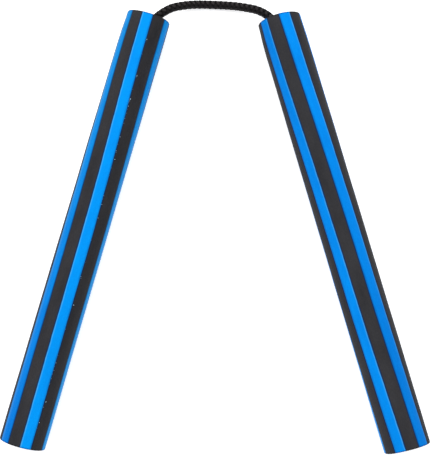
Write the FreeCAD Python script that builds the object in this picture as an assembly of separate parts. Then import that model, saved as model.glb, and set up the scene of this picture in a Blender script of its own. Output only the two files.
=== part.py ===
import FreeCAD, Part
import math
import os

# Foam practice sticks: two foam-sleeved sticks joined by a short braided cord.
# Millimetres. The pair lies on the plane Z = 0 with the cord at the +Y end,
# the sticks spread in a V towards -Y. The origin is the bottom centre of the
# box round the two sticks.

# ---- driving dimensions -------------------------------------------------
stick_length = 305.0        # 12 in foam length
stick_radius = 15.75        # outside of the foam sleeve, 31.5 mm across
lean_left = 14.68           # degrees that the left stick leans out from -Y
lean_right = 16.98
left_top = (-51.80, 147.22)     # centre of each stick's cord end
right_top = (40.20, 147.22)

foam_inner_radius = 10.0    # bore of the foam sleeve
seam_angle = 0.004        # half of the glue line between two strips, degrees
core_outer_radius = 9.9     # plastic tube, 0.1 glue film under the foam
core_inner_radius = 8.0
plug_recess = 0.5           # plug and cap faces sit this far below the foam's end
flange_thickness = 2.0
flange_radius = 9.9
spigot_radius = 7.95
guide_length = 21.5         # top plug, from its face to its inner end
mouth_depth = 13.7          # where the flared mouth narrows to the throat
mouth_arc = 24.6            # radius of the flare's curve
throat_radius = 2.95
cap_length = 15.0
cap_wall = 1.6

cord_diameter = 5.3
washer_outer_radius = 6.8
washer_hole_radius = 2.8
washer_thickness = 1.5
washer_gap = 0.1            # running gap between washer and plug
knot_radius = 6.2
knot_plane = -23.8          # flat seat of the knot, below the stick's end
tail_stub = 9.0             # loose end past the knot
swing_gap = 0.05            # round seat in the cord at each swing axis

# widths of the foam strips at mid length, degrees, going round from `start`
# (0 is up, positive turns towards +X), and how far the seams turn with the
# distance from the cord end
left_start = -57.5
left_first = "blue"
left_widths = [29.7, 31.1, 28.8, 35.2, 30.3, 30.4, 27.6, 29.5, 26.5, 29.5, 27.5, 33.9]
left_twist = [(0, -11.6), (40, -10.3), (80, -6.5), (120, -2.6), (160, -0.4),
              (200, 0.2), (240, 1.0), (280, 2.4), (305, 3.2)]
right_start = -86.4
right_first = "black"
right_widths = [34.8, 28.2, 33.4, 30.4, 37.5, 27.0, 30.0, 26.2, 29.7, 26.3, 30.0, 26.5]
right_twist = [(0, -14.0), (40, -10.8), (80, -6.3), (120, -2.6), (160, 0.3),
               (200, 1.8), (240, 4.8), (280, 8.6), (305, 11.0)]

# The cord's route from the left knot to the right knot. The cord turns on its
# swing axes half way along the second run from each end.
cord_route = [
    (-57.83, 124.20, 15.75),
    (-53.17, 142.00, 15.75),
    (-38.40, 155.35, 14.20),
    (-25.72, 159.95, 8.60),
    (-16.42, 162.16, 3.80),
    (-6.48, 162.19, 3.10),
    (3.65, 161.63, 3.70),
    (13.83, 159.20, 8.40),
    (29.83, 154.10, 14.20),
    (42.04, 141.19, 15.75),
    (47.15, 124.46, 15.75),
]

V = FreeCAD.Vector


# ---- each stick's own frame ----------------------------------------------
# local X is up, local Y points towards +X of the row, local Z runs along the
# stick and out of its cord end; local Z = 0 is the foam's cord end.
def stick_frame(top, lean, side):
    a = math.radians(lean)
    along = V(math.sin(a) * side, math.cos(a), 0)
    across = V(math.cos(a), -math.sin(a) * side, 0)
    rot = FreeCAD.Rotation(V(0, 0, 1), across, along, "ZXY")
    return FreeCAD.Placement(V(top[0], top[1], stick_radius), rot)


frames = {
    "left": stick_frame(left_top, lean_left, 1),
    "right": stick_frame(right_top, lean_right, -1),
}


def placed(shape, side):
    s = shape.copy()
    s.transformShape(frames[side].toMatrix(), True)
    return s


def revolved(profile):
    """A closed profile of (radius, z) turned round the stick's axis."""
    pts = [V(r, 0, z) for r, z in profile]
    return Part.Face(Part.makePolygon(pts + [pts[0]])).revolve(V(0, 0, 0), V(0, 0, 1), 360)


def ring(r_out, r_in, z0, z1):
    return Part.makeCylinder(r_out, z1 - z0, V(0, 0, z0)).cut(
        Part.makeCylinder(r_in, z1 - z0 + 2, V(0, 0, z0 - 1)))


# ---- foam sleeve: twelve strips glued edge to edge ------------------------
def wedge(a0, a1, twist):
    """A solid between two slowly turning planes, which cuts one strip out of the sleeve."""
    wires = []
    for s, t in twist:
        z = -s
        if s == 0:
            z = 1.0
        if s == twist[-1][0]:
            z = -s - 1.0
        lo, hi = math.radians(a0 + t), math.radians(a1 + t)
        r0, r1 = foam_inner_radius - 4, stick_radius + 5
        ps = [V(r0 * math.cos(lo), r0 * math.sin(lo), z), V(r1 * math.cos(lo), r1 * math.sin(lo), z),
              V(r1 * math.cos(hi), r1 * math.sin(hi), z), V(r0 * math.cos(hi), r0 * math.sin(hi), z)]
        wires.append(Part.makePolygon(ps + [ps[0]]))
    return Part.makeLoft(wires, True, False)


nodes = {}
sleeve = ring(stick_radius, foam_inner_radius, -stick_length, 0)
for side, start, first, widths, twist in (
        ("left", left_start, left_first, left_widths, left_twist),
        ("right", right_start, right_first, right_widths, right_twist)):
    assert abs(sum(widths) - 360) < 1e-6
    at, colour, count = start, first, {"blue": 0, "black": 0}
    for w in widths:
        strip = sleeve.common(wedge(at + seam_angle, at + w - seam_angle, twist))
        assert len(strip.Solids) == 1
        count[colour] += 1
        nodes[f"{side}_{colour}_strip_{count[colour]}"] = placed(strip.Solids[0], side)
        at += w
        colour = "black" if colour == "blue" else "blue"

# ---- hard parts inside each stick -----------------------------------------
plug_face = -plug_recess
flange_inner = plug_face - flange_thickness
core = ring(core_outer_radius, core_inner_radius, -stick_length + plug_recess + flange_thickness, flange_inner)

# cord guide: a flanged plug with a flared mouth that narrows to a throat
arc_centre = throat_radius + mouth_arc


def mouth_r(z):
    return arc_centre - math.sqrt(mouth_arc ** 2 - (z + mouth_depth) ** 2)


guide_end = plug_face - guide_length
e = []


def line(a, b):
    e.append(Part.LineSegment(V(a[0], 0, a[1]), V(b[0], 0, b[1])).toShape())


line((throat_radius, guide_end), (spigot_radius, guide_end))
line((spigot_radius, guide_end), (spigot_radius, flange_inner))
line((spigot_radius, flange_inner), (flange_radius, flange_inner))
line((flange_radius, flange_inner), (flange_radius, plug_face))
line((flange_radius, plug_face), (mouth_r(plug_face), plug_face))
zm = (plug_face - mouth_depth) / 2
e.append(Part.Arc(V(mouth_r(plug_face), 0, plug_face), V(mouth_r(zm), 0, zm),
                  V(throat_radius, 0, -mouth_depth)).toShape())
line((throat_radius, -mouth_depth), (throat_radius, guide_end))
guide = Part.Face(Part.Wire(e)).revolve(V(0, 0, 0), V(0, 0, 1), 360)

# push-in cap at the free end, hollow towards the tube
bottom = -stick_length + plug_recess
cap_top = bottom + cap_length
cap = revolved([
    (0, bottom), (flange_radius, bottom), (flange_radius, bottom + flange_thickness),
    (spigot_radius, bottom + flange_thickness), (spigot_radius, cap_top),
    (spigot_radius - cap_wall, cap_top), (spigot_radius - cap_wall, bottom + flange_thickness),
    (0, bottom + flange_thickness)])

washer_top = guide_end - washer_gap
washer = ring(washer_outer_radius, washer_hole_radius, washer_top - washer_thickness, washer_top)
assert washer_top - washer_thickness >= knot_plane

# overhand knot, drawn up against the washer, with the cord's short loose end
knot_centre = knot_plane - 5.1
knot = Part.makeSphere(knot_radius, V(0, 0, knot_centre))
knot = knot.cut(Part.makeBox(40, 40, 20, V(-20, -20, knot_plane)))
stub = Part.makeCylinder(cord_diameter / 2, tail_stub + 3, V(0, 0, knot_centre - knot_radius - tail_stub + 2))
stub = stub.cut(Part.makeBox(40, 40, 60, V(-20, -20, knot_centre - 2)))
knot = knot.fuse(stub).removeSplitter()

for side in ("left", "right"):
    nodes[f"{side}_core_tube"] = placed(core, side)
    nodes[f"{side}_cord_guide"] = placed(guide, side)
    nodes[f"{side}_end_cap"] = placed(cap, side)
    nodes[f"{side}_washer"] = placed(washer, side)
    nodes[f"{side}_stopper_knot"] = placed(knot, side)

# ---- the cord ---------------------------------------------------------------
P = [V(*p) for p in cord_route]
n = len(P)
run = [(P[i + 1] - P[i]).Length for i in range(n - 1)]
way = [(P[i + 1] - P[i]).normalize() for i in range(n - 1)]
corner, radii = {}, []
for i in range(1, n - 1):
    turn = math.acos(max(-1, min(1, way[i - 1].dot(way[i]))))
    back = 0.45 * min(run[i - 1], run[i])
    r = back / math.tan(turn / 2)
    radii.append(r)
    a, b = P[i] - way[i - 1] * back, P[i] + way[i] * back
    inward = (way[i] - way[i - 1]).normalize()
    centre = P[i] + inward * (r / math.cos(turn / 2))
    mid = centre - inward * r
    corner[i] = (a, mid, b, r * turn)
print("cord radii", [round(r, 1) for r in radii], "in diameters",
      [round(r / cord_diameter, 1) for r in radii])
print("cord runs", [round(r, 1) for r in run])
left_pivot, right_pivot = (P[1] + P[2]) * 0.5, (P[-3] + P[-2]) * 0.5
print("swing axes at", left_pivot, right_pivot)


def cord_tube(start, first, last, end):
    """A tube from start, round corners first to last, to end."""
    edges, at, length = [], start, 0.0
    for i in range(first, last + 1):
        a, mid, b, arc = corner[i]
        edges.append(Part.LineSegment(at, a).toShape())
        edges.append(Part.Arc(a, mid, b).toShape())
        length += (a - at).Length + arc
        at = b
    edges.append(Part.LineSegment(at, end).toShape())
    length += (end - at).Length
    path = Part.Wire(edges)
    d = (corner[first][0] - start).normalize()
    profile = Part.Wire([Part.Circle(start, d, cord_diameter / 2).toShape()])
    tube = path.makePipeShell([profile], True, False)
    assert tube.isValid() and len(tube.Solids) == 1
    want = math.pi * cord_diameter ** 2 / 4 * length
    print("tube length %.2f volume %.1f section x length %.1f" % (length, tube.Volume, want))
    return tube.Solids[0], length


r_c = cord_diameter / 2
span, span_len = cord_tube(left_pivot, 2, n - 3, right_pivot)
tail_l, len_l = cord_tube(P[0], 1, 1, left_pivot)


def right_tail():
    a, mid, b, arc = corner[n - 2]
    edges = [Part.LineSegment(right_pivot, a).toShape(), Part.Arc(a, mid, b).toShape(),
             Part.LineSegment(b, P[-1]).toShape()]
    length = (a - right_pivot).Length + arc + (P[-1] - b).Length
    profile = Part.Wire([Part.Circle(right_pivot, way[n - 3], r_c).toShape()])
    tube = Part.Wire(edges).makePipeShell([profile], True, False)
    print("tube length %.2f volume %.1f section x length %.1f" % (
        length, tube.Volume, math.pi * r_c ** 2 * length))
    return tube.Solids[0], length


tail_r, len_r = right_tail()
print("cord from knot to knot %.1f, between the swing axes %.1f" % (span_len + len_l + len_r, span_len))


# at each swing axis the tail ends in a round about the upright axis, and the
# span has a matching seat
def swing_round(pivot, outward):
    knob = Part.makeCylinder(r_c, 12, pivot - V(0, 0, 6))
    stub = Part.makeCylinder(r_c, r_c + 2, pivot - outward * 0.5, outward)
    return stub.common(knob)


seat_l = Part.makeCylinder(r_c + swing_gap, 16, left_pivot - V(0, 0, 8))
seat_r = Part.makeCylinder(r_c + swing_gap, 16, right_pivot - V(0, 0, 8))
tail_l = tail_l.fuse(swing_round(left_pivot, way[1]))
tail_r = tail_r.fuse(swing_round(right_pivot, way[n - 3] * -1))
span = span.cut(seat_l).cut(seat_r)
for s in (tail_l, tail_r, span):
    assert s.isValid() and len(s.Solids) == 1, len(s.Solids)
nodes["cord_span"] = span.Solids[0]
nodes["left_cord_tail"] = tail_l.Solids[0]
nodes["right_cord_tail"] = tail_r.Solids[0]

# ---- files ------------------------------------------------------------------
os.makedirs("parts", exist_ok=True)
for name, shape in nodes.items():
    assert shape.isValid(), name
    assert len(shape.Solids) == 1, name
    shape.exportStep(f"parts/{name}.step")
box = None
for name, shape in nodes.items():
    if "cord_" in name and "guide" not in name:
        continue
    box = shape.BoundBox if box is None else box.united(shape.BoundBox)
print("sticks' box", box)
print(len(nodes), "nodes")
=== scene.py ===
import math

import bmesh
import bpy
import numpy as np
from mathutils import Matrix, Vector, noise


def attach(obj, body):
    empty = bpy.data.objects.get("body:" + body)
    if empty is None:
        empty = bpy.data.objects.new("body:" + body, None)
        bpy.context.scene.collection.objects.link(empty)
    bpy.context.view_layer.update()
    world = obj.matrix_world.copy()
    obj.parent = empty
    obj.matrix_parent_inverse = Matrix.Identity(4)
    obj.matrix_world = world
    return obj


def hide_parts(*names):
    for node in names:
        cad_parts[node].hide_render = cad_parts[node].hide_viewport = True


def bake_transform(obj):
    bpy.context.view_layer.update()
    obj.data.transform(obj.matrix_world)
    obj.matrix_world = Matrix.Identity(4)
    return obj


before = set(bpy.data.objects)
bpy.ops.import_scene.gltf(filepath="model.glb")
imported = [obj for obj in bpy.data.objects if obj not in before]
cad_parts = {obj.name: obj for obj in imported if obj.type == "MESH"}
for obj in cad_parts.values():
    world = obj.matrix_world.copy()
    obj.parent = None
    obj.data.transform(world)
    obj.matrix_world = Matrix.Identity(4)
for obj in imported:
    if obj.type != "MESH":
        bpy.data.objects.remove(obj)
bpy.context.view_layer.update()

MM = 0.001

# ---------------------------------------------------------------------------
# sizes, as in the CAD part (millimetres, each stick's own frame: X up, Y
# across, Z along the stick and out of its cord end)
# ---------------------------------------------------------------------------
LENGTH = 305.0
RADIUS = 15.75
BORE = 10.0
STICKS = {
    "left": dict(top=(-51.80, 147.22), lean=14.68, turn=1, start=-57.5, first="blue",
                 widths=[29.7, 31.1, 28.8, 35.2, 30.3, 30.4, 27.6, 29.5, 26.5, 29.5, 27.5, 33.9],
                 twist=[(0, -11.6), (40, -10.3), (80, -6.5), (120, -2.6), (160, -0.4),
                        (200, 0.2), (240, 1.0), (280, 2.4), (305, 3.2)]),
    "right": dict(top=(40.20, 147.22), lean=16.98, turn=-1, start=-86.4, first="black",
                  widths=[34.8, 28.2, 33.4, 30.4, 37.5, 27.0, 30.0, 26.2, 29.7, 26.3, 30.0, 26.5],
                  twist=[(0, -14.0), (40, -10.8), (80, -6.3), (120, -2.6), (160, 0.3),
                         (200, 1.8), (240, 4.8), (280, 8.6), (305, 11.0)]),
}
ROUTE = [
    (-0.05783, 0.12420, 0.01575),
    (-0.05317, 0.14200, 0.01575),
    (-0.03840, 0.15535, 0.01420),
    (-0.02572, 0.15995, 0.00860),
    (-0.01642, 0.16216, 0.00380),
    (-0.00648, 0.16219, 0.00310),
    (0.00365, 0.16163, 0.00370),
    (0.01383, 0.15920, 0.00840),
    (0.02983, 0.15410, 0.01420),
    (0.04204, 0.14119, 0.01575),
    (0.04715, 0.12446, 0.01575),
]


# ---------------------------------------------------------------------------
# materials
# ---------------------------------------------------------------------------
class Nodes:
    """A small helper that wires one material."""

    def __init__(self, name):
        self.mat = bpy.data.materials.new(name)
        self.mat.use_nodes = True
        self.t = self.mat.node_tree
        self.t.nodes.clear()
        self.out = self.t.nodes.new("ShaderNodeOutputMaterial")
        self.bsdf = self.t.nodes.new("ShaderNodeBsdfPrincipled")
        self.t.links.new(self.bsdf.outputs[0], self.out.inputs["Surface"])

    def new(self, kind, **props):
        n = self.t.nodes.new(kind)
        for k, v in props.items():
            setattr(n, k, v)
        return n

    def link(self, a, b):
        self.t.links.new(a, b)
        return b

    def attr(self, name):
        n = self.new("ShaderNodeAttribute")
        n.attribute_name = name
        return n

    def scaled(self, vector, xyz):
        n = self.new("ShaderNodeVectorMath", operation="MULTIPLY")
        self.link(vector, n.inputs[0])
        n.inputs[1].default_value = xyz
        return n.outputs[0]

    def noise(self, vector, scale, detail=3.0, rough=0.55, lac=2.0, dist=0.0):
        n = self.new("ShaderNodeTexNoise")
        self.link(vector, n.inputs["Vector"])
        n.inputs["Scale"].default_value = scale
        n.inputs["Detail"].default_value = detail
        n.inputs["Roughness"].default_value = rough
        n.inputs["Lacunarity"].default_value = lac
        n.inputs["Distortion"].default_value = dist
        return n.outputs[0]

    def cells(self, vector, scale, feature="F1"):
        n = self.new("ShaderNodeTexVoronoi", feature=feature)
        self.link(vector, n.inputs["Vector"])
        n.inputs["Scale"].default_value = scale
        return n.outputs["Distance"]

    def span(self, value, a, b, c, d, clamp=True):
        n = self.new("ShaderNodeMapRange")
        n.clamp = clamp
        self.link(value, n.inputs["Value"])
        for k, v in zip(("From Min", "From Max", "To Min", "To Max"), (a, b, c, d)):
            n.inputs[k].default_value = v
        return n.outputs[0]

    def math(self, op, a, b=None, clamp=False):
        n = self.new("ShaderNodeMath", operation=op)
        n.use_clamp = clamp
        for i, x in enumerate((a, b)):
            if x is None:
                continue
            if isinstance(x, (int, float)):
                n.inputs[i].default_value = x
            else:
                self.link(x, n.inputs[i])
        return n.outputs[0]

    def mix(self, fac, a, b, blend="MIX"):
        n = self.new("ShaderNodeMix", data_type="RGBA", blend_type=blend)
        n.clamp_result = False
        for key, x in (("Factor", fac), ("A", a), ("B", b)):
            s = next(i for i in n.inputs if i.name == key and i.enabled)
            if isinstance(x, (int, float)):
                s.default_value = x
            elif isinstance(x, tuple):
                s.default_value = (*x, 1)
            else:
                self.link(x, s)
        return next(o for o in n.outputs if o.enabled)

    def bump(self, height, strength, distance, normal=None):
        n = self.new("ShaderNodeBump")
        n.inputs["Strength"].default_value = strength
        n.inputs["Distance"].default_value = distance
        self.link(height, n.inputs["Height"])
        if normal is not None:
            self.link(normal, n.inputs["Normal"])
        return n.outputs[0]


def tone_colour(m, tone, hue):
    n = m.new("ShaderNodeCombineXYZ")
    for i in range(2):
        m.link(tone, n.inputs[i])
    m.link(m.math("MULTIPLY", tone, hue), n.inputs[2])
    return n.outputs[0]


def foam(name, base, light, dark, warm, seam_shade, seam_highlight, rim, spec):
    """Closed-cell foam, cut and ground round: fine pores, faint lengthwise
    grinding marks, painted shade in the seam grooves and a painted highlight and sheen beside them."""
    m = Nodes(name)
    p = m.attr("stick").outputs["Vector"]            # millimetres in the stick's frame
    seam = m.attr("seam_mm").outputs["Fac"]           # distance to the strip's nearest seam
    tone = m.attr("tone").outputs["Fac"]              # brightness of this strip's foam: its own dye, and for some strips painted shade and highlight
    hue = m.attr("hue").outputs["Fac"]                # and how far towards violet
    to_shaded_edge = m.attr("shaded_edge_mm").outputs["Fac"]             # distance to the edge on the side away from the light, where shade is painted
    pale = m.attr("pale").outputs["Fac"]              # how much painted grazing sheen this strip has
    end = m.attr("end_mm").outputs["Fac"]

    clouds = m.noise(m.scaled(p, (0.09, 0.09, 0.035)), 1.0, 3.0, 0.5)
    patch = m.noise(m.scaled(p, (0.34, 0.34, 0.16)), 1.0, 4.0, 0.6)
    mottle = m.noise(m.scaled(p, (1.1, 1.1, 0.7)), 1.0, 4.0, 0.65)
    pores = m.cells(m.scaled(p, (2.4, 2.4, 2.4)), 1.0)
    grain = m.noise(m.scaled(p, (5.5, 5.5, 3.0)), 1.0, 2.0, 0.7)
    marks = m.noise(m.scaled(p, (2.6, 2.6, 0.06)), 1.0, 3.0, 0.6)

    col = m.mix(m.span(clouds, 0.32, 0.68, 0.0, 1.0), dark, light)
    col = m.mix(m.span(patch, 0.36, 0.64, 0.0, 0.55), col, base)
    col = m.mix(m.span(patch, 0.52, 0.68, 0.0, 0.45), col, warm)
    col = m.mix(m.span(mottle, 0.34, 0.60, 0.50, 0.0), col, dark)
    col = m.mix(m.span(mottle, 0.52, 0.72, 0.0, 0.45), col, light)
    col = m.mix(m.span(grain, 0.35, 0.75, 0.0, 0.28), col, base)
    col = m.mix(m.span(pores, 0.0, 0.22, 0.35, 0.0), col, dark)
    col = m.mix(m.span(marks, 0.55, 0.8, 0.0, 0.25), col, light)

    # seams: a wavering dark line along each seam, painted groove shade; on the blue, a painted highlight beside the
    # edge that faces the light
    wander = m.noise(m.scaled(p, (0.7, 0.7, 0.16)), 1.0, 3.0, 0.6)
    edge = m.math("SUBTRACT", seam, m.span(wander, 0.3, 0.7, -0.10, 0.16))
    if seam_highlight is not None:
        # painted highlight: a paler band beside the edge that faces the light, and pale adds a painted grazing sheen;
        # painted shade: a dark band along the edge away from the light
        edge_highlight = m.math("MULTIPLY", m.span(edge, 1.15, 0.50, 0.0, 1.0), m.span(edge, 0.24, 0.38, 0.0, 1.0))
        edge_highlight = m.math("MULTIPLY", edge_highlight, m.span(to_shaded_edge, 1.2, 2.6, 0.0, 1.0))
        edge_highlight = m.math("MULTIPLY", edge_highlight, m.span(patch, 0.34, 0.60, 0.45, 0.80))
        col = m.mix(m.math("MAXIMUM", edge_highlight, pale), col, seam_highlight)
        # painted shade along the edge away from the light
        painted_seam_shade = m.math("ADD", to_shaded_edge, m.span(wander, 0.3, 0.7, -0.25, 0.30))
        col = m.mix(m.span(painted_seam_shade, 0.30, 1.55, 0.50, 0.0), col, seam_shade)
        line = m.span(edge, 0.20, 0.42, 1.0, 0.0)
    else:
        line = m.span(edge, 0.25, 0.75, 1.0, 0.0)          # painted groove shade, tinted blue
    # the seam line: painted groove shade
    col = m.mix(m.math("MULTIPLY", line, 0.85), col, seam_shade)

    # the cut ends: darker within about a millimetre of the rim
    end_darkening = m.span(m.math("ADD", end, m.span(mottle, 0.3, 0.7, -0.25, 0.25)), 0.35, 1.25, 0.80, 0.0)
    col = m.mix(end_darkening, col, rim)

    col = m.mix(1.0, col, tone_colour(m, tone, hue), "MULTIPLY")
    m.link(col, m.bsdf.inputs["Base Color"])

    rough = m.span(m.math("ADD", grain, m.math("MULTIPLY", mottle, 0.6)), 0.5, 1.1, 0.62, 0.82)
    m.link(rough, m.bsdf.inputs["Roughness"])
    m.bsdf.inputs["Specular IOR Level"].default_value = spec
    m.bsdf.inputs["IOR"].default_value = 1.45
    if seam_highlight is not None:
        # open cells catch the light where the skin is seen edge on
        m.bsdf.inputs["Sheen Weight"].default_value = 0.10
        m.bsdf.inputs["Sheen Roughness"].default_value = 0.35

    height = m.math("ADD", m.math("MULTIPLY", m.span(pores, 0.0, 0.3, 0.0, 1.0), 0.6),
                    m.math("MULTIPLY", grain, 0.5))
    height = m.math("ADD", height, m.math("MULTIPLY", mottle, 0.9))
    n1 = m.bump(height, 0.35, 0.00012)
    n2 = m.bump(marks, 0.25, 0.00010, n1)
    m.link(n2, m.bsdf.inputs["Normal"])
    return m.mat


def braid(name, dark, light):
    """Multifilament cord yarn: fine filaments along each strand, painted highlight on their crowns and painted shade
    where they dive under.
    """
    m = Nodes(name)
    p = m.attr("yarn").outputs["Vector"]              # millimetres: across, round, along the strand
    crown_height = m.attr("crown").outputs["Fac"]             # 1 on a strand's outer crown, 0 where it dives
    hand = m.attr("hand").outputs["Fac"]              # which way round the strand is laid
    fil = m.noise(m.scaled(p, (9.0, 9.0, 0.7)), 1.0, 3.0, 0.6)
    twist = m.noise(m.scaled(p, (2.2, 2.2, 0.9)), 1.0, 2.0, 0.5)
    col = m.mix(m.span(fil, 0.3, 0.72, 0.0, 1.0), dark, light)
    col = m.mix(m.span(twist, 0.35, 0.7, 0.35, 0.0), col, dark)
    # painted highlight on the strands' outer crowns
    col = m.mix(m.math("MULTIPLY", m.span(crown_height, 0.5, 1.0, 0.0, 0.30), m.span(fil, 0.4, 0.7, 0.2, 1.0)), col,
                tuple(x * 1.7 for x in light))
    # painted light and shade: strands laid one way are painted brighter than the other, as if lit from one side, and
    # all are painted darker where they dive under
    painted_strand_light = m.math("MULTIPLY", m.span(hand, 0.0, 1.0, 0.78, 2.20), m.span(crown_height, 0.20, 0.85, 0.20, 1.60))
    painted_strand_light = m.math("MULTIPLY", painted_strand_light, m.span(twist, 0.30, 0.72, 0.75, 1.30))
    col = m.mix(1.0, col, tone_colour(m, painted_strand_light, 0.98), "MULTIPLY")
    m.link(col, m.bsdf.inputs["Base Color"])
    m.link(m.span(fil, 0.3, 0.7, 0.52, 0.74), m.bsdf.inputs["Roughness"])
    m.bsdf.inputs["Specular IOR Level"].default_value = 0.09
    m.link(m.bump(fil, 0.7, 0.00012), m.bsdf.inputs["Normal"])
    return m.mat


def plastic(name, dark, light, rough, scale=1.0, spec=0.45):
    """Moulded plastic: an even texture with faint flow marks and scuffs."""
    m = Nodes(name)
    tc = m.new("ShaderNodeTexCoord").outputs["Object"]
    fine = m.noise(tc, 4200.0 * scale, 2.0, 0.6)
    flow = m.noise(tc, 170.0 * scale, 4.0, 0.55, dist=0.6)
    scuff = m.noise(tc, 900.0 * scale, 5.0, 0.7)
    col = m.mix(m.span(flow, 0.3, 0.7, 0.0, 1.0), dark, light)
    col = m.mix(m.span(scuff, 0.58, 0.78, 0.0, 0.35), col, tuple(min(1.0, x * 1.8 + 0.01) for x in light))
    m.link(col, m.bsdf.inputs["Base Color"])
    m.link(m.span(scuff, 0.3, 0.75, rough - 0.07, rough + 0.14), m.bsdf.inputs["Roughness"])
    m.bsdf.inputs["Specular IOR Level"].default_value = spec
    h = m.math("ADD", m.math("MULTIPLY", fine, 0.5), flow)
    m.link(m.bump(h, 0.25, 0.00008), m.bsdf.inputs["Normal"])
    return m.mat


def crumb(name):
    """Dried glue and torn foam: chalky, pale blue, uneven."""
    m = Nodes(name)
    tc = m.new("ShaderNodeTexCoord").outputs["Object"]
    a = m.noise(tc, 1500.0, 3.0, 0.6)
    b = m.noise(tc, 5000.0, 2.0, 0.6)
    col = m.mix(m.span(a, 0.35, 0.65, 0.0, 1.0), (0.16, 0.32, 0.46), (0.44, 0.60, 0.70))
    m.link(col, m.bsdf.inputs["Base Color"])
    m.link(m.span(b, 0.3, 0.7, 0.55, 0.8), m.bsdf.inputs["Roughness"])
    m.bsdf.inputs["Specular IOR Level"].default_value = 0.25
    m.link(m.bump(b, 0.4, 0.00006), m.bsdf.inputs["Normal"])
    return m.mat


def steel(name):
    m = Nodes(name)
    tc = m.new("ShaderNodeTexCoord").outputs["Object"]
    a = m.noise(tc, 800.0, 4.0, 0.6)
    b = m.noise(tc, 2600.0, 2.0, 0.6)
    col = m.mix(m.span(a, 0.3, 0.7, 0.0, 1.0), (0.42, 0.42, 0.43), (0.66, 0.66, 0.66))
    m.link(col, m.bsdf.inputs["Base Color"])
    m.bsdf.inputs["Metallic"].default_value = 1.0
    m.link(m.span(b, 0.3, 0.7, 0.24, 0.46), m.bsdf.inputs["Roughness"])
    m.link(m.bump(b, 0.3, 0.00004), m.bsdf.inputs["Normal"])
    return m.mat


# the seam colours: a dark one for the painted seam shade, a pale blue one for the painted edge highlight and sheen
BLUE = foam("blue_foam", base=(0.0, 0.240, 0.715), light=(0.0, 0.268, 0.765), dark=(0.0, 0.196, 0.630),
            warm=(0.0, 0.228, 0.735), seam_shade=(0.002, 0.040, 0.14), seam_highlight=(0.075, 0.340, 0.600),
            rim=(0.0, 0.070, 0.26), spec=0.04)
BLACK = foam("black_foam", base=(0.0238, 0.0237, 0.0268), light=(0.0310, 0.0306, 0.0338), dark=(0.0160, 0.0161, 0.0192),
             warm=(0.0268, 0.0240, 0.0252), seam_shade=(0.0042, 0.0150, 0.0620), seam_highlight=None,
             rim=(0.0095, 0.0090, 0.0095), spec=0.15)
CORD = braid("cord_braid", dark=(0.0012, 0.0010, 0.0011), light=(0.0110, 0.0093, 0.0098))
PLUG = plastic("black_plastic", (0.010, 0.010, 0.011), (0.018, 0.018, 0.019), 0.42)
TUBE = plastic("tube_plastic", (0.52, 0.52, 0.50), (0.64, 0.64, 0.61), 0.38)
STEEL = steel("washer_steel")
GLUE = crumb("torn_foam")


# ---------------------------------------------------------------------------
# foam strips
# ---------------------------------------------------------------------------
def stick_axes(spec):
    a = math.radians(spec["lean"])
    s = spec["turn"]
    along = np.array([math.sin(a) * s, math.cos(a), 0.0])
    across = np.array([math.cos(a), -math.sin(a) * s, 0.0])
    up = np.array([0.0, 0.0, 1.0])
    origin = np.array([spec["top"][0], spec["top"][1], RADIUS])
    return origin, up, across, along


def smooth_table(table, x):
    """A smooth curve through the table's points."""
    xs, ys = [t[0] for t in table], [t[1] for t in table]
    n = len(xs)
    slope = []
    for i in range(n):
        a, b = max(i - 1, 0), min(i + 1, n - 1)
        slope.append((ys[b] - ys[a]) / (xs[b] - xs[a]))
    i = min(max(sum(1 for v in xs if v <= x) - 1, 0), n - 2)
    h = xs[i + 1] - xs[i]
    t = (x - xs[i]) / h
    return ((2 * t ** 3 - 3 * t ** 2 + 1) * ys[i] + (t ** 3 - 2 * t ** 2 + t) * h * slope[i]
            + (-2 * t ** 3 + 3 * t ** 2) * ys[i + 1] + (t ** 3 - t ** 2) * h * slope[i + 1])


END_ROUND = 0.7        # rounded rim of the cut ends
NEAR_END = [0.0, 0.05, 0.16, 0.34, 0.58, 0.9, 1.4, 2.2, 3.6, 5.6]
STATIONS = NEAR_END + [float(x) for x in np.linspace(8.2, LENGTH - 8.2, 112)] + [LENGTH - x for x in NEAR_END[::-1]]
EDGE = [0.0, 0.05, 0.12, 0.22, 0.36, 0.55, 0.85]
GROOVE_W, GROOVE_D = 0.42, 0.24
GAP = 0.012            # mm left between neighbouring strips' walls


def wobble(side, k, s):
    """How far seam k strays at s, degrees: knife-cut edges are never quite straight."""
    key = (1.7 if side == "left" else 9.3) + 3.1 * (k % 12)
    return (0.42 * noise.noise(Vector((s * 0.021, key, 0.3)))
            + 0.30 * noise.noise(Vector((s * 0.075, key, 4.1)))
            + 0.14 * noise.noise(Vector((s * 0.22, key, 8.7))))


def swell(side, s, ang):
    """Slow unevenness of the ground surface, mm."""
    a = math.radians(ang)
    o = 0.0 if side == "left" else 40.0
    p = Vector((math.cos(a) * 1.5 + o, math.sin(a) * 1.5, s * 0.030))
    q = Vector((math.cos(a) * 5.0 + o, math.sin(a) * 5.0, s * 0.17))
    return 0.10 * noise.noise(p) + 0.035 * noise.noise(q)


def mouth(side, s, ang):
    """How far the sleeve is drawn in near its cord end, mm: the glued ends are never quite round."""
    y = math.sin(math.radians(ang))
    pull = 0.75 * math.exp(-(s / 11.0) ** 2) * max(0.0, -y)
    if side == "right":
        pull += 0.30 * math.exp(-(s / 16.0) ** 2) * max(0.0, y)
    return pull


def saw(side, far, ang):
    """How far the cut end stands past square, mm: neither saw cut is true."""
    y = math.sin(math.radians(ang))
    if far:
        return 0.58 if side == "left" else 0.20 + 0.60 * y * y + 0.30 * y
    return 0.75 * y * y if side == "left" else 0.15 - 0.42 * y


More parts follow.
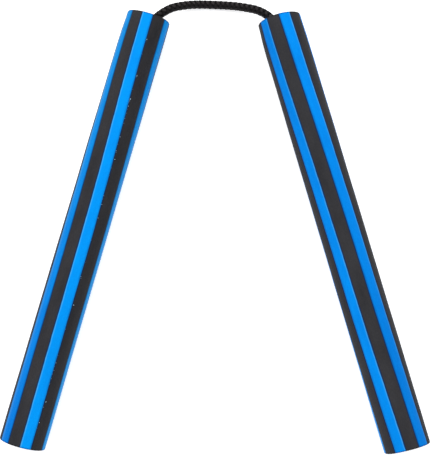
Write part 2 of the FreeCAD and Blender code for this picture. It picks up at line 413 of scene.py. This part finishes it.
def foam_strip(side, spec, k, a0, a1, name, mat, tone):
    origin, up, across, along = stick_axes(spec)
    turn = [smooth_table(spec["twist"], s) for s in STATIONS]
    mid_w = math.radians(a1 - a0) * RADIUS
    inner_n = max(5, round((mid_w - 2 * EDGE[-1]) / 1.05))
    K = [0.0, 0.12, 0.5, 0.88, 1.0]             # bore to surface, on the walls
    verts, attrs = [], []
    index = {}
    cols = len(EDGE) * 2 + inner_n - 1

    def point(i, kk, j):
        key = (i, kk, j)
        if key in index:
            return index[key]
        s = STATIONS[j]
        lo = a0 + turn[j] + wobble(side, k, s)
        hi = a1 + turn[j] + wobble(side, k + 1, s)
        width = math.radians(hi - lo) * RADIUS
        if i < len(EDGE):
            x = EDGE[i]
        elif i >= cols - len(EDGE):
            x = width - EDGE[cols - 1 - i]
        else:
            f = (i - len(EDGE) + 1) / inner_n
            x = EDGE[-1] + f * (width - 2 * EDGE[-1])
        edge = min(x, width - x)
        ang = lo + math.degrees(max(GAP, min(x, width - GAP)) / RADIUS)
        top = RADIUS + swell(side, s, ang) - 0.10
        top -= mouth(side, s, ang)
        if edge < GROOVE_W:
            u = 1 - edge / GROOVE_W
            top -= GROOVE_D * (1 - math.sqrt(max(0.0, 1 - u * u)))
        d = min(s, LENGTH - s)
        if d < END_ROUND:
            top -= END_ROUND - math.sqrt(END_ROUND ** 2 - (END_ROUND - d) ** 2)
        low = BORE + 0.02
        if d < 0.35:
            low += 0.35 - math.sqrt(0.35 ** 2 - (0.35 - d) ** 2)
        r = low + (top - low) * K[kk]
        near = math.exp(-(d / 9.0) ** 2)
        z = -s + near * (saw(side, False, ang) if s < LENGTH / 2 else -saw(side, True, ang))
        if d == 0.0:
            # the saw leaves the face a little uneven
            a = math.radians(ang)
            un = 0.05 * noise.noise(Vector((r * math.cos(a) * 0.35, r * math.sin(a) * 0.35, 3.0 if s else 7.0)))
            z += (-abs(un) if s == 0 else abs(un))
        a = math.radians(ang)
        local = (r * math.cos(a), r * math.sin(a), z)
        w = (origin + up * local[0] + across * local[1] + along * local[2]) * MM
        seam = edge if kk == len(K) - 1 or 0 < i < cols - 1 else 0.0
        near_end = d + (top + END_ROUND - r) * (1.0 if d == 0 else 0.0)
        index[key] = len(verts)
        verts.append(w)
        # distance to the edge on the side away from the light, which gets painted shade
        to_shaded_edge = (width - x) if side == "left" and name != "left_blue_foam_3" else x
        # brightness along the strip: its own dye, and for the listed strips painted shade and highlight
        shade, turn_blue = tone[0] * (1 - tone[1] * s / LENGTH), tone[2] + (tone[3] - tone[2]) * s / LENGTH
        # painted grazing sheen: paleness painted on three blue strips
        pale = 0.0
        if name == "left_blue_foam_3":
            pale = 0.16 * min(1.0, max(0.0, (s - 62) / 46)) + 0.06 * min(1.0, max(0.0, (s - 170) / 110))
        elif name == "right_blue_foam_6":
            pale = 0.22 * s / LENGTH
        elif name == "left_blue_foam_1":
            pale = 0.40 * min(1.0, max(0.0, (3.0 - x) / 1.2)) * min(1.0, max(0.0, x / 0.5))
        attrs.append((local, seam, near_end, shade, turn_blue, to_shaded_edge, pale))
        return index[key]

    faces = []
    S, C, T = len(STATIONS) - 1, cols - 1, len(K) - 1
    for j in range(S):
        for i in range(C):
            faces.append((point(i, T, j), point(i + 1, T, j), point(i + 1, T, j + 1), point(i, T, j + 1)))
            faces.append((point(i, 0, j + 1), point(i + 1, 0, j + 1), point(i + 1, 0, j), point(i, 0, j)))
        for q in range(T):
            faces.append((point(0, q, j), point(0, q + 1, j), point(0, q + 1, j + 1), point(0, q, j + 1)))
            faces.append((point(C, q, j + 1), point(C, q + 1, j + 1), point(C, q + 1, j), point(C, q, j)))
    for i in range(C):
        for q in range(T):
            faces.append((point(i, q, 0), point(i + 1, q, 0), point(i + 1, q + 1, 0), point(i, q + 1, 0)))
            faces.append((point(i, q + 1, S), point(i + 1, q + 1, S), point(i + 1, q, S), point(i, q, S)))

    me = bpy.data.meshes.new(name)
    me.from_pydata([tuple(v) for v in verts], [], faces)
    bm = bmesh.new()
    bm.from_mesh(me)
    bmesh.ops.recalc_face_normals(bm, faces=bm.faces)
    bm.to_mesh(me)
    bm.free()
    me.shade_smooth()
    me.set_sharp_from_angle(angle=math.radians(50))
    at = me.attributes.new("stick", "FLOAT_VECTOR", "POINT")
    at.data.foreach_set("vector", np.array([a[0] for a in attrs], np.float32).ravel())
    for key, c in (("seam_mm", 1), ("end_mm", 2), ("tone", 3), ("hue", 4), ("shaded_edge_mm", 5), ("pale", 6)):
        at = me.attributes.new(key, "FLOAT", "POINT")
        at.data.foreach_set("value", np.array([a[c] for a in attrs], np.float32))
    me.materials.append(mat)
    o = bpy.data.objects.new(name, me)
    bpy.context.collection.objects.link(o)
    return o


# each strip's brightness, beside 1 for the rest, how much of that it loses by its far end, and its blue's share
# at the cord end and at the far end: partly the foam's own dye, partly painted shade and highlight on the listed strips
TONE_AND_SHADE = {
    ("left", "black", 2): (0.76, 0.0, 1.0, 1.0), ("left", "black", 1): (1.05, 0.0, 1.0, 1.0),
    ("left", "blue", 1): (0.95, 0.20, 0.90, 1.19), ("left", "blue", 2): (1.07, 0.0, 1.0, 1.0),
    ("left", "blue", 3): (0.88, -0.06, 0.93, 0.93),
    ("right", "blue", 1): (0.80, -0.20, 1.12, 1.08), ("right", "blue", 2): (0.94, 0.26, 1.07, 1.18),
    ("right", "black", 3): (0.93, 0.0, 1.0, 1.0), ("right", "black", 2): (1.06, 0.0, 1.0, 1.0),
}

for side, spec in STICKS.items():
    at, colour, count = spec["start"], spec["first"], {"blue": 0, "black": 0}
    for k, w in enumerate(spec["widths"]):
        count[colour] += 1
        tag = f"{side}_{colour}_foam_{count[colour]}"
        tone = TONE_AND_SHADE.get((side, colour, count[colour]),
                         (0.97 + 0.05 * math.sin(2.3 * k + (0 if side == "left" else 1)), 0.05 * math.sin(1.7 * k), 1.0, 1.04))
        o = foam_strip(side, spec, k, at, at + w, tag, BLUE if colour == "blue" else BLACK, tone)
        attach(o, f"{side}_stick")
        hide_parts(f"{side}_{colour}_strip_{count[colour]}")
        at += w
        colour = "black" if colour == "blue" else "blue"


def torn_flecks(side, spec, seam, spots, name):
    """Crumbs of dried glue and torn foam sunk in the surface beside one seam: (s, mm to its right, long, wide)."""
    origin, up, across, along = stick_axes(spec)
    verts, faces = [], []
    for n, (s, off, long, wide) in enumerate(spots):
        ang = spec["start"] + sum(spec["widths"][:seam]) + smooth_table(spec["twist"], s) + wobble(side, seam, s)
        mid = math.radians(ang) + off / RADIUS
        base = len(verts)
        rings, around = 5, 11
        skew = 0.9 * math.sin(n * 2.7)
        for i in range(rings + 1):
            lat = math.pi * (i / rings - 0.5)
            count = 1 if i in (0, rings) else around
            for q in range(count):
                a = 2 * math.pi * q / around
                rough = 1 + 0.42 * noise.noise(Vector((math.cos(a) * 1.4 + n * 5.1, math.sin(a) * 1.4, lat)))
                u = long * math.cos(lat) * math.cos(a) * rough
                v = wide * math.cos(lat) * math.sin(a) * rough + skew * u * 0.4
                w = 0.24 * math.sin(lat) * rough
                groove = GROOVE_D * max(0.0, 1 - abs(off) / GROOVE_W)
                r = RADIUS - 0.10 + swell(side, s, math.degrees(mid)) - groove - 0.10 + w
                t = mid + v / RADIUS
                p = origin + up * (r * math.cos(t)) + across * (r * math.sin(t)) - along * (s + u)
                verts.append(tuple(p * MM))
        first = base + 1
        for q in range(around):
            faces.append((base, first + (q + 1) % around, first + q))
        for i in range(rings - 2):
            lo, hi = first + i * around, first + (i + 1) * around
            for q in range(around):
                faces.append((lo + q, lo + (q + 1) % around, hi + (q + 1) % around, hi + q))
        lo, tip = first + (rings - 2) * around, first + (rings - 1) * around
        for q in range(around):
            faces.append((lo + q, lo + (q + 1) % around, tip))
    me = bpy.data.meshes.new(name)
    me.from_pydata(verts, [], faces)
    bm = bmesh.new()
    bm.from_mesh(me)
    bmesh.ops.recalc_face_normals(bm, faces=bm.faces)
    bm.to_mesh(me)
    bm.free()
    me.shade_smooth()
    me.materials.append(GLUE)
    o = bpy.data.objects.new(name, me)
    bpy.context.collection.objects.link(o)
    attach(o, f"{side}_stick")
    return o


torn_flecks("left", STICKS["left"], 3, [
    (18.4, 0.45, 0.40, 0.27), (19.3, 0.30, 0.20, 0.15), (29.0, 0.10, 0.22, 0.13), (44.4, 0.62, 0.36, 0.24),
    (45.4, 0.46, 0.28, 0.20), (54.5, 0.15, 0.20, 0.13), (61.4, 0.46, 0.54, 0.29), (62.8, 0.25, 0.36, 0.23),
    (64.0, 0.05, 0.26, 0.17), (66.4, 0.42, 0.30, 0.19), (68.6, 0.12, 0.24, 0.14), (71.4, 0.40, 0.22, 0.16),
    (75.2, 0.16, 0.28, 0.17), (78.6, 0.34, 0.24, 0.15), (88.3, 0.30, 0.38, 0.22), (93.6, 0.06, 0.24, 0.14),
    (98.2, 0.28, 0.34, 0.21), (99.2, 0.36, 0.22, 0.15), (104.0, 0.85, 0.36, 0.23), (110.2, 0.22, 0.24, 0.14),
    (115.4, 0.18, 0.22, 0.14), (130.0, 0.12, 0.30, 0.18), (132.4, 0.05, 0.20, 0.13), (135.9, 0.26, 0.32, 0.19),
    (145.6, 0.30, 0.32, 0.19), (161.0, 0.08, 0.22, 0.13), (176.5, 0.14, 0.22, 0.14), (186.4, 0.22, 0.34, 0.20),
    (187.6, 0.34, 0.26, 0.16), (206.2, 0.88, 0.44, 0.25), (223.0, 0.10, 0.22, 0.14), (241.0, 0.14, 0.20, 0.13),
    (246.2, 0.30, 0.24, 0.15), (248.6, 0.12, 0.20, 0.13), (251.3, 0.40, 0.26, 0.16), (253.8, 0.16, 0.22, 0.14),
    (257.0, 0.34, 0.24, 0.15), (260.6, 0.10, 0.24, 0.14), (286.8, 0.42, 0.34, 0.21),
    (272.6, 0.95, 0.42, 0.26), (276.4, 0.30, 0.26, 0.16), (290.5, 0.12, 0.22, 0.14),
], "left_foam_flecks")


# ---------------------------------------------------------------------------
# the cord: one smooth line, eight strands braided round it
# ---------------------------------------------------------------------------
def spline_points(points, name):
    """Points along the smooth line that the route's points control."""
    cu = bpy.data.curves.new(name, "CURVE")
    cu.dimensions = "3D"
    cu.resolution_u = 60
    sp = cu.splines.new("NURBS")
    sp.points.add(len(points) - 1)
    for p, q in zip(sp.points, points):
        p.co = (*q, 1.0)
    sp.order_u = 3
    sp.use_endpoint_u = True
    sp.resolution_u = 60
    ob = bpy.data.objects.new(name, cu)
    bpy.context.collection.objects.link(ob)
    bpy.context.view_layer.update()
    me = bpy.data.meshes.new_from_object(ob.evaluated_get(bpy.context.evaluated_depsgraph_get()))
    pts = np.array([v.co for v in me.vertices], float)
    bpy.data.meshes.remove(me)
    bpy.data.objects.remove(ob)
    bpy.data.curves.remove(cu)
    if np.linalg.norm(pts[0] - np.array(points[0])) > np.linalg.norm(pts[-1] - np.array(points[0])):
        pts = pts[::-1]
    return pts


def even(pts, step):
    seg = np.linalg.norm(np.diff(pts, axis=0), axis=1)
    along = np.concatenate([[0.0], np.cumsum(seg)])
    n = max(2, int(round(along[-1] / step)))
    at = np.linspace(0, along[-1], n + 1)
    return np.stack([np.interp(at, along, pts[:, c]) for c in range(3)], axis=1), at


def frames_along(pts):
    """Tangent and two normals that turn as little as they can."""
    t = np.gradient(pts, axis=0)
    t /= np.linalg.norm(t, axis=1)[:, None]
    n = np.cross(t[0], [0.0, 0.0, 1.0])
    n /= np.linalg.norm(n)
    normals = []
    for i in range(len(pts)):
        n = n - t[i] * n.dot(t[i])
        n /= np.linalg.norm(n)
        normals.append(n.copy())
    normals = np.array(normals)
    return t, normals, np.cross(t, normals)


def braid_mesh(name, pts, at, first, last, mat, pairs=4, core_r=1.62, r0=2.02, lift=0.38, half_w=1.30, half_t=0.76,
               lead=15.2, ring=12):
    """Strands from station first to station last of the whole line, so that two pieces of one cord meet exactly.
    pairs strands turn each way, and every strand goes over one and under one."""
    t, nrm, bnm = frames_along(pts)
    verts, faces, yarn, crown, hand = [], [], [], [], []
    s_mm = at * 1000.0
    phi = 2 * math.pi * s_mm / lead

    def tube(centres, axis_a, axis_b, ra, rb, tag, top):
        """Lens-shaped rings round the centres, closed at both ends."""
        base = len(verts)
        run = np.concatenate([[0.0], np.cumsum(np.linalg.norm(np.diff(centres, axis=0), axis=1))]) * 1000.0
        n = len(centres)
        for i in range(n):
            for q in range(ring):
                a = 2 * math.pi * q / ring
                c, s = math.cos(a), math.sin(a)
                # the strand is a bundle of yarn: flat where it lies, full at its sides
                flat = 1.0 - 0.10 * math.cos(2 * a) ** 2
                sag = -0.16 * c * c * (1 if rb < ra else 0)
                verts.append(centres[i] + (axis_a[i] * c * ra * flat + axis_b[i] * (s * rb * flat + sag)) * MM)
                yarn.append((c * ra + tag * 7.3, s * rb + tag * 3.1, run[i]))
                crown.append(max(0.0, s) * top[i])
                hand.append(1.0 if tag < pairs else 0.0)
        for i in range(n - 1):
            for q in range(ring):
                q2 = (q + 1) % ring
                faces.append((base + i * ring + q, base + i * ring + q2,
                              base + (i + 1) * ring + q2, base + (i + 1) * ring + q))
        faces.append(tuple(base + q for q in range(ring))[::-1])
        faces.append(tuple(base + (n - 1) * ring + q for q in range(ring)))

    lo, hi = first, last + 1
    for d in (1, -1):
        for k in range(pairs):
            th = d * phi + 2 * math.pi * k / pairs
            wave = d * np.cos(pairs * phi)
            over = np.tanh(1.3 * wave) / math.tanh(1.3)
            # yarn tension is never quite even
            fuzz = np.array([noise.noise(Vector((x * 0.11, k * 3.7 + d * 1.3, 0.0))) for x in s_mm])
            r = (r0 + lift * over + 0.05 * fuzz) * MM
            out = nrm * np.cos(th)[:, None] + bnm * np.sin(th)[:, None]
            centres = pts + out * r[:, None]
            tan = np.gradient(centres, axis=0)
            tan /= np.linalg.norm(tan, axis=1)[:, None]
            up = out - tan * (out * tan).sum(1)[:, None]
            up /= np.linalg.norm(up, axis=1)[:, None]
            side_ax = np.cross(tan, up)
            tube(centres[lo:hi], side_ax[lo:hi], up[lo:hi], half_w, half_t, k + pairs * (d < 0), (over[lo:hi] + 1) / 2)
    tube(pts[lo:hi], nrm[lo:hi], bnm[lo:hi], core_r, core_r, 20, np.zeros(hi - lo))

    for v in verts:
        if v[2] < 0.0004:      # yarn gives a little where it rests on the table
            v[2] = 0.00008 + 0.00032 * math.exp((v[2] - 0.0004) / 0.00032)
    me = bpy.data.meshes.new(name)
    me.from_pydata([tuple(v) for v in verts], [], faces)
    bm = bmesh.new()
    bm.from_mesh(me)
    bmesh.ops.recalc_face_normals(bm, faces=bm.faces)
    bm.to_mesh(me)
    bm.free()
    me.shade_smooth()
    me.set_sharp_from_angle(angle=math.radians(70))
    a = me.attributes.new("yarn", "FLOAT_VECTOR", "POINT")
    a.data.foreach_set("vector", np.array(yarn, np.float32).ravel())
    a = me.attributes.new("crown", "FLOAT", "POINT")
    a.data.foreach_set("value", np.array(crown, np.float32))
    a = me.attributes.new("hand", "FLOAT", "POINT")
    a.data.foreach_set("value", np.array(hand, np.float32))
    me.materials.append(mat)
    o = bpy.data.objects.new(name, me)
    bpy.context.collection.objects.link(o)
    return o


line = spline_points(ROUTE, "cord_line")
line, line_at = even(line, 0.00042)
middle = len(line) // 2
total = float(line_at[-1])

# The stopper inside each tube: the cord takes two turns round and its cut tail
# leaves straight down (control points in the stick's own frame, mm).
KNOT = [(0.0, 0.0, -24.2), (1.6, 0.4, -24.9), (4.2, 1.2, -25.7), (2.9, 4.4, -26.2), (-2.9, 4.4, -26.9),
        (-4.6, 0.0, -27.8), (-2.9, -4.4, -28.7), (2.9, -4.4, -29.6), (4.6, 0.0, -30.3), (2.9, 4.4, -30.9),
        (-2.9, 4.4, -31.5), (-4.4, 0.2, -32.3), (-2.2, -3.0, -33.2), (0.2, -1.4, -34.6), (0.3, 0.1, -36.4),
        (0.1, 0.1, -39.0), (0.0, 0.0, -42.0)]

for side, (a, b) in {"left": (0, middle), "right": (middle, len(line) - 1)}.items():
    origin, up, across, along = stick_axes(STICKS[side])
    turns = spline_points([tuple((origin + up * p[0] + across * p[1] + along * p[2]) * MM) for p in KNOT],
                          f"{side}_knot_line")
    turns, turns_at = even(turns, 0.0005)
    knot = braid_mesh(f"{side}_knot_turns", turns, turns_at, 0, len(turns) - 1, CORD,
                      core_r=1.15, r0=1.42, lift=0.24, half_w=0.98, half_t=0.58, ring=10)
    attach(knot, f"{side}_knot")
    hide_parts(f"{side}_stopper_knot")

    o = braid_mesh(f"cord_{side}_half", line, line_at, a, b, CORD)
    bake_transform(o)
    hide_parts("cord_span", f"{side}_cord_tail")


# ---------------------------------------------------------------------------
# hard parts that stay as the CAD made them, with their own finishes
# ---------------------------------------------------------------------------
for side in ("left", "right"):
    for node, mat in ((f"{side}_cord_guide", PLUG), (f"{side}_end_cap", PLUG), (f"{side}_core_tube", TUBE),
                      (f"{side}_washer", STEEL)):
        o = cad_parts[node]
        o.data.materials.clear()
        o.data.materials.append(mat)
        for s in o.material_slots:
            s.material = mat


# ---------------------------------------------------------------------------
# floor, light and camera
# ---------------------------------------------------------------------------
def floor():
    bm = bmesh.new()
    n = 24
    grid = [[bm.verts.new(((i / n - 0.5) * 6.0, (j / n - 0.5) * 6.0, -0.0002)) for i in range(n + 1)]
            for j in range(n + 1)]
    for j in range(n):
        for i in range(n):
            bm.faces.new((grid[j][i], grid[j][i + 1], grid[j + 1][i + 1], grid[j + 1][i]))
    me = bpy.data.meshes.new("floor")
    bm.to_mesh(me)
    bm.free()
    o = bpy.data.objects.new("floor", me)
    bpy.context.collection.objects.link(o)
    m = Nodes("floor")
    tc = m.new("ShaderNodeTexCoord").outputs["Object"]
    f = m.noise(tc, 6.0, 2.0, 0.5)
    m.link(m.mix(m.span(f, 0.3, 0.7, 0.0, 1.0), (0.86, 0.86, 0.86), (0.88, 0.88, 0.88)), m.bsdf.inputs["Base Color"])
    m.bsdf.inputs["Emission Color"].default_value = (1.0, 1.0, 1.0, 1.0)   # a lit white table
    m.bsdf.inputs["Emission Strength"].default_value = 0.50
    m.bsdf.inputs["Roughness"].default_value = 0.9
    m.bsdf.inputs["Specular IOR Level"].default_value = 0.0
    me.materials.append(m.mat)


floor()

world = bpy.data.worlds.new("studio")
bpy.context.scene.world = world
world.use_nodes = True
bg = world.node_tree.nodes["Background"]
bg.inputs[0].default_value = (1.0, 1.0, 1.0, 1.0)
bg.inputs[1].default_value = 0.90


def softbox(name, place, aim, size, power, colour=(1, 1, 1)):
    li = bpy.data.lights.new(name, "AREA")
    li.shape = "RECTANGLE"
    li.size, li.size_y = size
    li.energy = power
    li.color = colour
    o = bpy.data.objects.new(name, li)
    bpy.context.collection.objects.link(o)
    o.location = place
    d = Vector(aim) - Vector(place)
    o.rotation_euler = d.to_track_quat("-Z", "Y").to_euler()
    return o


softbox("key", (-0.06, 0.28, 0.85), (-0.02, 0.06, 0), (0.5, 0.5), 3.9)

cam = bpy.data.cameras.new("camera")
cam.sensor_fit = "AUTO"
cam.sensor_width = 36.0
cam.lens = 72.87
cam.clip_start = 0.02
cam.clip_end = 20.0
camera = bpy.data.objects.new("camera", cam)
bpy.context.collection.objects.link(camera)
camera.matrix_world = Matrix((
    (0.999572, -0.016519, 0.024165, 0.013481),
    (0.018758, 0.995246, -0.095574, -0.060009),
    (-0.022471, 0.095986, 0.995129, 0.645588),
    (0.0, 0.0, 0.0, 1.0),
))
bpy.context.scene.camera = camera

scene = bpy.context.scene
scene.view_settings.view_transform = "Standard"
scene.view_settings.look = "None"
scene.view_settings.exposure = 0.0
scene.view_settings.gamma = 1.0
